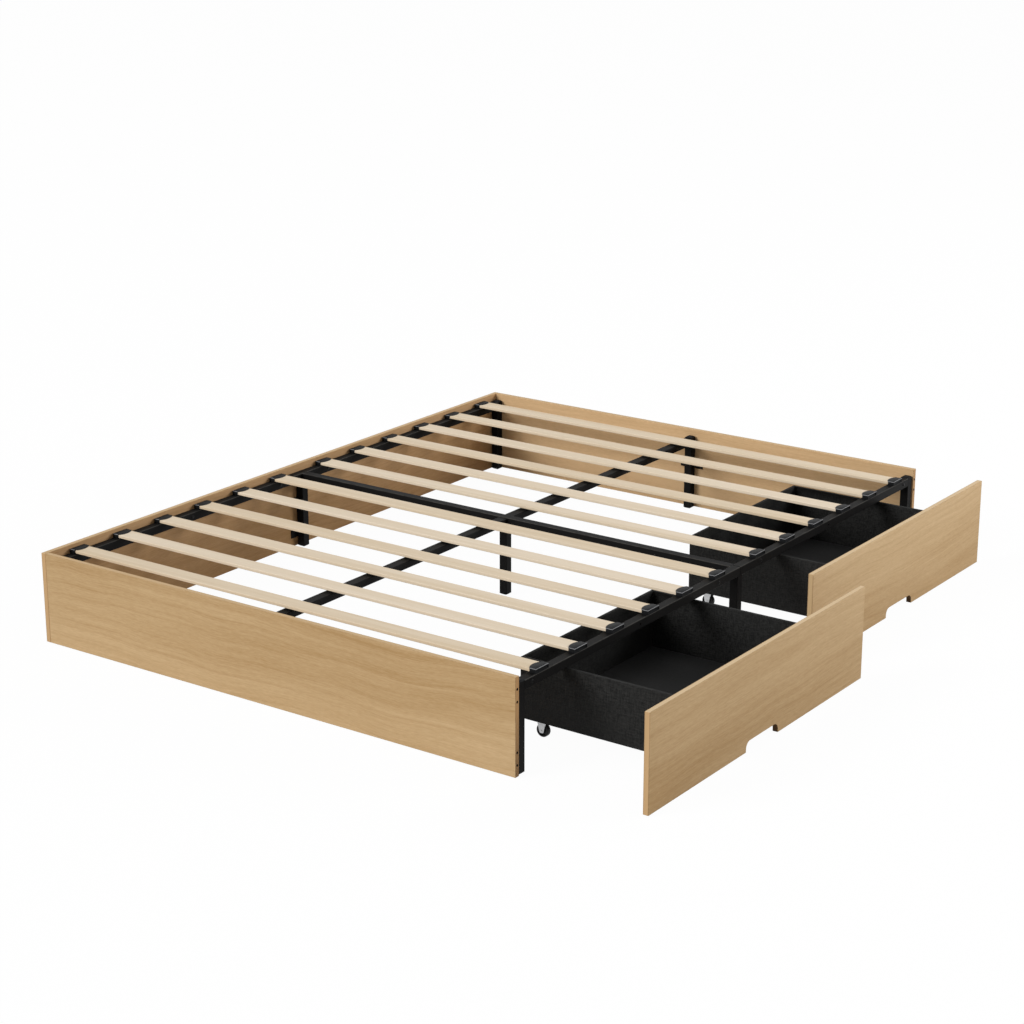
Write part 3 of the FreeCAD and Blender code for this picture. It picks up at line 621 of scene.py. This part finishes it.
STEEL_STARTS = ("leg_foot", "leg_mid", "leg_head", "rail_", "mid_", "centre_", "panel_plates")
TUBE_RUNS = (("rail_", "Y"), ("mid_crossbar", "X"))
steel = powder_coat("steel_powder_coat")
steel_nodes = [name for name in nodes if name.startswith(STEEL_STARTS)]
for name in steel_nodes:
    runs = [run for start, run in TUBE_RUNS if name.startswith(start) and "sleeve" not in name]
    dress(name, powder_coat(f"steel_{name}", name, runs[0]) if runs else steel)
print("powder coat on", len(steel_nodes), "nodes")

# %% [markdown]
# ## Plastic, oxide and zinc
# Different blacks keep the frame readable. Caps, plugs and wheels are moulded plastic with a faint
# spark texture, and the screws have a black oxide that looks much the same. The rims of the caps
# carry a painted highlight in pale grey. The casters' forks are bright zinc, brushed and spangled.

# %% Moulded plastic and oxide
FLOW_SCALE = 60
SPARK_SCALE = 1500
SPARK_ROUGH = 0.18
SPARK_RELIEF = 0.0001
SPARK_RELIEF_SHARE = 0.4


def moulded(name, deep, pale, gloss, shine):
    """Black plastic or oxide; gloss is the lowest roughness."""
    finish = Finish(name, Specular_IOR_Level=shine)
    spark = noise(finish, SPARK_SCALE, detail=2.0)
    flow = noise(finish, FLOW_SCALE)
    finish.feed(Base_Color=blend(finish, flow, deep, pale), Roughness=gloss + spark * SPARK_ROUGH,
                Normal=relief(finish, spark, SPARK_RELIEF, SPARK_RELIEF_SHARE))
    return finish


cap_plastic = moulded("plastic_caps", colour(20, 21, 22), colour(32, 33, 35), gloss=0.4, shine=0.06)
# Painted highlight: a pale grey for the eased rims of the caps, standing in for the light they catch.
cap_rim_highlight = moulded("plastic_cap_rim_highlights", colour(112, 113, 116), colour(146, 147, 150), gloss=0.3,
                      shine=0.5)
wheel_plastic = moulded("plastic_wheels", colour(14, 14, 14), colour(24, 24, 24), gloss=0.4, shine=0.2)
screw_oxide = moulded("screw_oxide", colour(11, 11, 12), colour(20, 20, 21), gloss=0.34, shine=0.15)
print("moulded finishes for caps, rims, wheels and screws")

# %% Zinc
ZINC_DEEP = colour(170, 171, 173)
ZINC_PALE = colour(206, 207, 208)
ZINC_METAL = 0.85
ZINC_ROUGH = 0.28
BRUSH_SCALE = (40, 900, 900)
BRUSH_ROUGH = 0.22
BRUSH_RELIEF = 0.0001
BRUSH_RELIEF_SHARE = 0.3
SPANGLE_SCALE = 220
DRAWERS = ("drawer_1", "drawer_2")


def zinc_plate(name):
    """Bright zinc, brushed along X."""
    finish = Finish(name, Metallic=ZINC_METAL)
    brush = noise(finish, BRUSH_SCALE)
    spangle = noise(finish, SPANGLE_SCALE, detail=1.0)
    finish.feed(Base_Color=blend(finish, (brush + spangle) * 0.5, ZINC_DEEP, ZINC_PALE),
                Roughness=ZINC_ROUGH + brush * BRUSH_ROUGH,
                Normal=relief(finish, brush, BRUSH_RELIEF, BRUSH_RELIEF_SHARE))
    return finish


zinc = zinc_plate("zinc_forks")
for drawer in DRAWERS:
    dress(f"{drawer}_caster_forks", zinc)
print("zinc on the forks of", len(DRAWERS), "drawers")

# %% [markdown]
# ## Linen-pressed foil
# The drawers' boards wear a black foil pressed like linen, whose threads run both ways on every
# face. Three sets of stretched noise, one along each axis, do that without any unwrapping. The
# drawers' floors are nearly plain.

# %% Linen and plain foil
THREAD_ALONG = 60.0
THREAD_ACROSS = 370.0
THREAD_SHIFTS = (("X", 0.0), ("Y", 7.0), ("Z", 14.0))
THREAD_STOPS = ((0.4, 0.0), (0.6, 1.0))
THREAD_SHARE = 0.8
THREAD_ROUGH = 0.15
THREAD_RELIEF_SHARE = 0.6
FOIL_SHINE = 0.11
FOIL_ROUGH = 0.6
FOIL_CLOUD = 14


def linen_foil(name, deep, pale, press):
    """Threads along each axis; on any flat face two of the three sets cross."""
    finish = Finish(name, Specular_IOR_Level=FOIL_SHINE)
    threads = []
    for run, shift in THREAD_SHIFTS:
        scales = tuple(THREAD_ALONG if axis == run else THREAD_ACROSS for axis in "XYZ")
        threads.append(noise(finish, scales, (shift, 0, 0), 2.0))
    warp, weft, rise = threads
    raised = curve(finish, (warp + weft + rise) * (1 / 3), *THREAD_STOPS)
    cloud = noise(finish, FOIL_CLOUD)
    share = raised * THREAD_SHARE + cloud * (1 - THREAD_SHARE)
    finish.feed(Base_Color=blend(finish, share, deep, pale), Roughness=FOIL_ROUGH + raised * THREAD_ROUGH,
                Normal=relief(finish, raised, press, THREAD_RELIEF_SHARE))
    return finish


linen = linen_foil("foil_linen_black", colour(8, 8, 8), colour(47, 47, 46), press=0.0003)
plain_foil = linen_foil("foil_plain_black", colour(36, 36, 36), colour(46, 46, 46), press=0.00005)
print("linen foil for the walls, plain foil for the floors of the drawers")

# %% [markdown]
# ## Making a piece
# Each new piece is a mesh in the bed's own frame, so its object stays at the origin. It names the
# body that carries it and the solid node that it stands for.
# Faces are smooth where they bend gently and sharp at real corners.

# %% From a bmesh to a piece on the bed
SHARP_ANGLE = 35


def add_piece(bm, name, body, slot, finish, *replaced):
    """Turns a bmesh into a piece that rides on a body and stands for solid nodes."""
    bmesh.ops.recalc_face_normals(bm, faces=bm.faces)
    mesh = bpy.data.meshes.new(name)
    bm.to_mesh(mesh)
    bm.free()
    mesh.shade_smooth()
    mesh.set_sharp_from_angle(angle=math.radians(SHARP_ANGLE))
    mesh.materials.append(finish.material)
    piece = bpy.data.objects.new(name, mesh)
    scene.collection.objects.link(piece)
    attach(piece, body)
    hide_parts(*replaced)
    return piece


print("faces that meet at more than", SHARP_ANGLE, "degrees stay sharp")

# %% Shaping tools
CORNER_ANGLE = 0.9
ROUND_PROFILE = 0.5
MERGE_REACH = 1e-6


def cuboid(bm, low, high):
    """Adds a cuboid between two corners."""
    size = Vector(high) - Vector(low)
    middle = (Vector(high) + Vector(low)) / 2
    placement = Matrix.Translation(middle) @ Matrix.Diagonal((*size, 1.0))
    bmesh.ops.create_cube(bm, size=1.0, matrix=placement)


def corners(bm, least=CORNER_ANGLE):
    """Edges where two faces meet at more than an angle in radians."""
    return [edge for edge in bm.edges if edge.is_manifold and edge.calc_face_angle() > least]


def ease(bm, edges, offset, segments):
    """Rounds edges and gives the new faces."""
    made = bmesh.ops.bevel(bm, geom=edges, offset=offset, offset_type="OFFSET", segments=segments,
                           profile=ROUND_PROFILE, affect="EDGES", material=-1, clamp_overlap=True)
    return made["faces"]


def sink(bm, face, margin, depth):
    """Presses a face in, leaving a rim round it."""
    bmesh.ops.inset_region(bm, faces=[face], thickness=margin)
    floor = bmesh.ops.extrude_discrete_faces(bm, faces=[face])["faces"][0]
    floor.normal_update()
    bmesh.ops.translate(bm, vec=floor.normal * -depth, verts=floor.verts)


def spin_round(bm, geom, centre, axis, steps):
    """Spins an outline all the way round an axis and closes it."""
    bmesh.ops.spin(bm, geom=geom, cent=centre, axis=axis, angle=math.tau, steps=steps, use_merge=True)
    bmesh.ops.remove_doubles(bm, verts=bm.verts, dist=MERGE_REACH)


print("corners are edges of more than", CORNER_ANGLE, "radians")


# %% Patterns to stamp with
def as_pattern(bm):
    """Keeps a bmesh as a mesh to stamp with."""
    bmesh.ops.recalc_face_normals(bm, faces=bm.faces)
    pattern = bpy.data.meshes.new("pattern")
    bm.to_mesh(pattern)
    bm.free()
    return pattern


def stamp(bm, pattern, placement):
    """Adds a copy of a mesh at a placement."""
    first = len(bm.verts)
    bm.from_mesh(pattern)
    bm.verts.ensure_lookup_table()
    bmesh.ops.transform(bm, matrix=placement, verts=bm.verts[first:])


print("patterns are ready to stamp")

# %% [markdown]
# ## Drawer boxes
# The box of a drawer is five boards wrapped in foil. A wrapped board never has a razor edge, and
# its soft arris is what draws the pale line along the top of the box, so each board is a cuboid
# with its edges eased.

# %% Drawer boards
BOARD_PARTS = ("inner_front", "side_foot", "side_head", "back", "bottom")
BOARD_EASE = 0.0009
BOARD_EASE_STEPS = 3
for drawer in DRAWERS:
    for part in BOARD_PARTS:
        bm = bmesh.new()
        cuboid(bm, *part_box(f"{drawer}_{part}"))
        ease(bm, bm.edges[:], BOARD_EASE, BOARD_EASE_STEPS)
        foil = plain_foil if part == "bottom" else linen
        add_piece(bm, f"{drawer}_{part}_board", drawer, "drawer_board", foil, f"{drawer}_{part}")
print(len(DRAWERS) * len(BOARD_PARTS), "drawer boards")

# %% [markdown]
# ## Slat caps
# A cap is a moulded cup on the rail: the slat's end goes in from the side, and the roof bulges
# out over the slat as a tongue. The tongue's edge is an arc, made by spinning one corner round
# the arc's centre. The roof's straight edges are eased and carry a painted highlight, a thin pale
# line of light. One cap is built and then stamped at both ends of every slat.

# %% One cap
CAP_LENGTH = 0.019
CAP_TONGUE = 0.0095
CAP_HALF = 0.0268
CAP_HEIGHT = 0.012
CAP_ROOF = 0.0012
CAP_WALL = 0.0015
CAP_POCKET = 0.0147
CAP_DISH_RIM = 0.0026
CAP_DISH = 0.002
CAP_EASE = 0.0003
CAP_RIM = 0.0009
CAP_EASE_STEPS = 2
CAP_ARC_STEPS = 16


def cap_cup(bm, under):
    """The cup: a pocket for the slat on one side and a shallow dish on the other."""
    cuboid(bm, (0, -CAP_HALF, 0), (CAP_LENGTH, CAP_HALF, under))
    ordered = sorted(bm.faces, key=lambda face: face.calc_center_median().x)
    sink(bm, ordered[-1], CAP_WALL, CAP_POCKET)
    sink(bm, ordered[0], CAP_DISH_RIM, CAP_DISH)
    ease(bm, corners(bm), CAP_EASE, CAP_EASE_STEPS)


def cap_roof(bm, under):
    """The flat outline of the roof, with an arc on the slat's side."""
    radius = (CAP_HALF ** 2 + CAP_TONGUE ** 2) / (2 * CAP_TONGUE)
    first = bm.verts.new((CAP_LENGTH, -CAP_HALF, under))
    arc = bmesh.ops.spin(bm, geom=[first], cent=(CAP_LENGTH + CAP_TONGUE - radius, 0, under),
                         axis=(0, 0, 1), angle=2 * math.asin(CAP_HALF / radius),
                         steps=CAP_ARC_STEPS)
    last = arc["geom_last"][0]
    outer = [bm.verts.new((0, side * CAP_HALF, under)) for side in (1, -1)]
    for pair in ((last, outer[0]), outer, (outer[1], first)):
        bm.edges.new(pair)
    outline = [edge for edge in bm.edges if edge.is_wire]
    return bmesh.ops.contextual_create(bm, geom=outline)["faces"]


def slat_cap():
    """A cap that stands on the rail, with its tongue along +X."""
    bm = bmesh.new()
    under = CAP_HEIGHT - CAP_ROOF
    cap_cup(bm, under)
    raised = bmesh.ops.extrude_face_region(bm, geom=cap_roof(bm, under))["geom"]
    top = [item for item in raised if isinstance(item, bmesh.types.BMVert)]
    bmesh.ops.translate(bm, vec=(0, 0, CAP_ROOF), verts=top)
    rim = [edge for edge in corners(bm) if all(vert in top for vert in edge.verts)]
    # The eased straight rims take the second material, a painted highlight; the arc keeps the cap's
    # black.
    for face in ease(bm, rim, CAP_RIM, CAP_EASE_STEPS):
        if face.calc_center_median().x < CAP_LENGTH:
            face.material_index = 1
    return as_pattern(bm)


print("a cap is", CAP_HEIGHT * 1000, "mm high")

# %% Caps at every slat end
pattern = slat_cap()
low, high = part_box("slat_caps")
turned = Matrix.Rotation(math.pi, 4, "Z")
bm = bmesh.new()
for slat in slats:
    middle = sum(span(slat, "Y")) / 2
    stamp(bm, pattern, Matrix.Translation((low.x, middle, low.z)))
    stamp(bm, pattern, Matrix.Translation((high.x, middle, low.z)) @ turned)
bpy.data.meshes.remove(pattern)
caps = add_piece(bm, "slat_end_caps", "bed", "black_plastic", cap_plastic, "slat_caps")
caps.data.materials.append(cap_rim_highlight.material)
print("caps:", len(caps.data.polygons), "faces")

# %% [markdown]
# ## Leg plugs
# Every leg ends in a square plastic plug: a stem inside the tube and a low dome outside. A cube
# whose top is scaled in gives the dome its slope, and easing its edges makes it look moulded.
# The legs at both ends of the bed have a plug at the top as well.

# %% One plug
LEG_SIZE = 0.025
PLUG_HEAD = 0.0035
PLUG_CROWN = 0.015
PLUG_STEM_HALF = 0.0107
PLUG_STEM = 0.015
PLUG_EASE = 0.0012
PLUG_EASE_STEPS = 3


def leg_plug():
    """A plug with its dome upwards, whose stem goes down into a leg."""
    bm = bmesh.new()
    half = LEG_SIZE / 2
    cuboid(bm, (-half, -half, 0), (half, half, PLUG_HEAD))
    top = [vert for vert in bm.verts if vert.co.z > 0]
    crown = PLUG_CROWN / LEG_SIZE
    bmesh.ops.scale(bm, vec=(crown, crown, 1), verts=top)
    upper = [edge for edge in bm.edges if any(vert in top for vert in edge.verts)]
    ease(bm, upper, PLUG_EASE, PLUG_EASE_STEPS)
    cuboid(bm, (-PLUG_STEM_HALF, -PLUG_STEM_HALF, -PLUG_STEM), (PLUG_STEM_HALF, PLUG_STEM_HALF, 0))
    return as_pattern(bm)


print("a plug's head is", PLUG_HEAD * 1000, "mm high")

# %% Plugs above and below the legs
LEG_STARTS = ("leg_foot", "leg_mid", "leg_head")
pattern = leg_plug()
upside_down = Matrix.Rotation(math.pi, 4, "X")
bm = bmesh.new()
for leg in (name for name in nodes if name.startswith(LEG_STARTS)):
    low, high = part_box(leg)
    x = (low.x + high.x) / 2
    y = 0.0
    if leg.startswith("leg_foot"):
        y = low.y + LEG_SIZE / 2
    elif leg.startswith("leg_head"):
        y = high.y - LEG_SIZE / 2
    stamp(bm, pattern, Matrix.Translation((x, y, low.z)) @ upside_down)
    if not leg.startswith("leg_mid"):
        stamp(bm, pattern, Matrix.Translation((x, y, high.z)))
bpy.data.meshes.remove(pattern)
plugs = add_piece(bm, "leg_end_plugs", "bed", "black_plastic", cap_plastic, "leg_plugs")
print("plugs:", len(plugs.data.polygons), "faces")

# %% [markdown]
# ## Screws
# The rails are held by black button-head screws with a hexagon socket. The head and shank are one
# outline spun round the screw's axis. The rim of the head is bridged to a six-sided loop, which
# is then pushed in as the socket.

# %% One screw
SCREW_SHANK = 0.0025
SCREW_HEAD = 0.005
SCREW_FACE = 0.003
SCREW_RISE = 0.002
SCREW_BEND_RISE_SHARE = 0.7
SCREW_BEND_WIDTH_SHARE = 0.86
SCREW_STEPS = 24
SOCKET_RADIUS = 0.0017
SOCKET_DEPTH = 0.0014
SOCKET_SIDES = 6


def button_screw(length):
    """A screw whose head points along +X."""
    bm = bmesh.new()
    bend = (SCREW_RISE * SCREW_BEND_RISE_SHARE, SCREW_HEAD * SCREW_BEND_WIDTH_SHARE)
    profile = ((-length, 0), (-length, SCREW_SHANK), (0, SCREW_SHANK), (0, SCREW_HEAD), bend,
               (SCREW_RISE, SCREW_FACE))
    outline = [bm.verts.new((x, 0, z)) for x, z in profile]
    edges = [bm.edges.new(pair) for pair in zip(outline, outline[1:])]
    spin_round(bm, outline + edges, (0, 0, 0), (1, 0, 0), SCREW_STEPS)
    rim = [edge for edge in bm.edges if edge.is_boundary]
    on_face = Matrix.Translation((SCREW_RISE, 0, 0)) @ Matrix.Rotation(math.pi / 2, 4, "Y")
    hexagon = bmesh.ops.create_circle(bm, segments=SOCKET_SIDES, radius=SOCKET_RADIUS, matrix=on_face)
    loop = list({edge for vert in hexagon["verts"] for edge in vert.link_edges})
    bmesh.ops.bridge_loops(bm, edges=rim + loop)
    pushed = bmesh.ops.extrude_edge_only(bm, edges=loop)["geom"]
    bottom = [item for item in pushed if isinstance(item, bmesh.types.BMVert)]
    bmesh.ops.translate(bm, vec=(-SOCKET_DEPTH, 0, 0), verts=bottom)
    bmesh.ops.contextual_create(bm, geom=bottom)
    return as_pattern(bm)


print("a screw's head is", SCREW_HEAD * 2000, "mm wide")

# %% Screws in both rails
SHORT_SHANK = 0.012
LONG_SHANK = 0.038
RAIL_MIDDLE = 0.2225
RIGHT_FACE = 0.7695
LEFT_FACE = -0.7445
SPLICE_SCREW = 0.111
MIDDLE_SCREW = 0.495
END_SCREW = 0.967
SCREW_ROWS = ((SHORT_SHANK, RIGHT_FACE, (SPLICE_SCREW, END_SCREW)),
              (LONG_SHANK, LEFT_FACE, (SPLICE_SCREW, MIDDLE_SCREW, END_SCREW)))
bm = bmesh.new()
for length, face, places in SCREW_ROWS:
    pattern = button_screw(length)
    for place in places:
        for side in (-1, 1):
            stamp(bm, pattern, Matrix.Translation((face, side * place, RAIL_MIDDLE)))
    bpy.data.meshes.remove(pattern)
screws = add_piece(bm, "rail_screws", "bed", "black_screw", screw_oxide, "frame_screws")
print("screws:", len(screws.data.polygons), "faces")

# %% [markdown]
# ## Caster wheels
# Each drawer rolls on four fixed casters. A wheel is one moulded disc: a hub, a thin web, and a
# rim with rounded shoulders. Its half section, pairs of radius and place along the axle, is drawn
# once, mirrored and spun round the axle. Each wheel is a piece of its own, because each one turns
# on its own body.

# %% Wheels
WHEEL_SECTION = ((0.0026, 0.007), (0.006, 0.007), (0.0064, 0.003), (0.0121, 0.003), (0.0125, 0.007),
                 (0.0158, 0.007), (0.0175, 0.005))
WHEEL_STEPS = 48
WHEEL_CORNER_ANGLE = 0.5
WHEEL_EASE = 0.0005
WHEEL_EASE_STEPS = 2


def wheel(centre):
    """A wheel round a centre, with its axle along Y."""
    bm = bmesh.new()
    mirrored = tuple((radius, -across) for radius, across in reversed(WHEEL_SECTION))
    section = WHEEL_SECTION + mirrored
    verts = [bm.verts.new(centre + Vector((0, across, radius))) for radius, across in section]
    edges = [bm.edges.new((vert, verts[index - 1])) for index, vert in enumerate(verts)]
    spin_round(bm, verts + edges, centre, (0, 1, 0), WHEEL_STEPS)
    ease(bm, corners(bm, WHEEL_CORNER_ANGLE), WHEEL_EASE, WHEEL_EASE_STEPS)
    return bm


wheels = [name for name in nodes if "_wheel_" in name]
for name in wheels:
    low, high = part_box(name)
    add_piece(wheel((low + high) / 2), f"{name}_disc", name, "wheel_plastic", wheel_plastic, name)
print(len(wheels), "wheels")

# %% [markdown]
# ## Floor, room and light
# The bed stands on a plain white floor in an even white room, as in a catalogue picture. The room
# is white to the camera and in reflections, and gentler as a light, so that colours come out as
# they are written. Two large soft lamps far away give the faces their different tones: a strong
# one in front of the foot end, to its left, and a weaker one low on the drawers' side. Far lamps
# light the near and the far end alike.

# %% Floor
SEEN_SHARE = 0.97
WHITE = (1.0, 1.0, 1.0, 1.0)
FLOOR_BOUNCE = (0.6, 0.6, 0.6, 1.0)
FLOOR_ROUGH = 0.9
FLOOR_SIZE = 30.0
FLOOR_DROP = 0.0004


def seen_rays(wiring):
    """One for rays from the camera and those seen by reflection or through glass."""
    path = wiring.node("ShaderNodeLightPath", output="Is Camera Ray")
    either = path.reckon("MAXIMUM", path, path.output("Is Glossy Ray"))
    return either.reckon("MAXIMUM", either, path.output("Is Transmission Ray"))


def floor_finish():
    """White where it is seen, with a faint shadow, and duller as a source of bounced light."""
    finish = Finish("floor_white", Roughness=FLOOR_ROUGH, Specular_IOR_Level=0.0)
    seen = seen_rays(finish)
    finish.feed(Base_Color=blend(finish, seen, FLOOR_BOUNCE, WHITE))
    plain = Reading(finish, finish.shader.outputs[0])
    glow = finish.node("ShaderNodeEmission", None, {"Color": WHITE, "Strength": 1.0})
    mixed = finish.node("ShaderNodeMixShader", None, {0: seen * SEEN_SHARE, 1: plain, 2: glow})
    finish.wire(finish.tree.nodes["Material Output"].inputs["Surface"], mixed)
    return finish


bm = bmesh.new()
below = Matrix.Translation((0, 0, -FLOOR_DROP))
bmesh.ops.create_grid(bm, x_segments=1, y_segments=1, size=FLOOR_SIZE, matrix=below)
mesh = bpy.data.meshes.new("floor")
bm.to_mesh(mesh)
bm.free()
mesh.materials.append(floor_finish().material)
floor = bpy.data.objects.new("floor", mesh)
scene.collection.objects.link(floor)
print("floor", mesh.name, "is white to the camera")

# %% Room
ROOM_LIGHT = 0.32
world = bpy.data.worlds.new("white_room")
world.use_nodes = True
scene.world = world
room = Wiring(world.node_tree)
backdrop = room.tree.nodes["Background"]
room.wire(backdrop.inputs["Color"], WHITE)
room.wire(backdrop.inputs["Strength"], ROOM_LIGHT + seen_rays(room) * (1 - ROOM_LIGHT))
print("room light", ROOM_LIGHT)

# %% Lamps
LAMP_AIM = Vector((0, 0, 0.1))


def soft_lamp(name, place, size, power):
    """A square lamp that faces the bed; size is in metres and power in watts."""
    lamp = bpy.data.lights.new(name, "AREA")
    lamp.size = size
    lamp.energy = power
    holder = bpy.data.objects.new(name, lamp)
    holder.location = place
    holder.rotation_euler = (LAMP_AIM - Vector(place)).to_track_quat("-Z", "Y").to_euler()
    scene.collection.objects.link(holder)
    return holder


lamps = (soft_lamp("lamp_foot_left", place=(-19.0, -35.0, 24.5), size=21.0, power=17800),
         soft_lamp("lamp_drawer_side", place=(6.6, 4.8, 3.0), size=3.3, power=400))
print("lamps:", [lamp.name for lamp in lamps])

# %% [markdown]
# ## Camera
# The picture was taken from above the right-hand foot corner with a long lens. The place, the
# turn and the lens come from fitting the corners of the panels and drawer fronts. The lens is
# found from the focal length in pixels of a square picture.

# %% Camera at the picture's viewing angle
PICTURE = 1024
FOCAL_PIXELS = 2355.4
SENSOR_WIDTH = 36.0
CAMERA_PLACE = (3.7139, -5.1892, 2.2772)
CAMERA_YAW = 35.423
CAMERA_PITCH = 17.653
camera_data = bpy.data.cameras.new("catalogue_camera")
camera_data.sensor_width = SENSOR_WIDTH
camera_data.lens = FOCAL_PIXELS / PICTURE * SENSOR_WIDTH
camera = bpy.data.objects.new("catalogue_camera", camera_data)
camera.location = CAMERA_PLACE
camera.rotation_euler = (math.radians(90 - CAMERA_PITCH), 0, math.radians(CAMERA_YAW))
scene.collection.objects.link(camera)
scene.camera = camera
scene.view_settings.view_transform = "Standard"
print("lens", round(camera_data.lens, 1), "mm")

# %% [markdown]
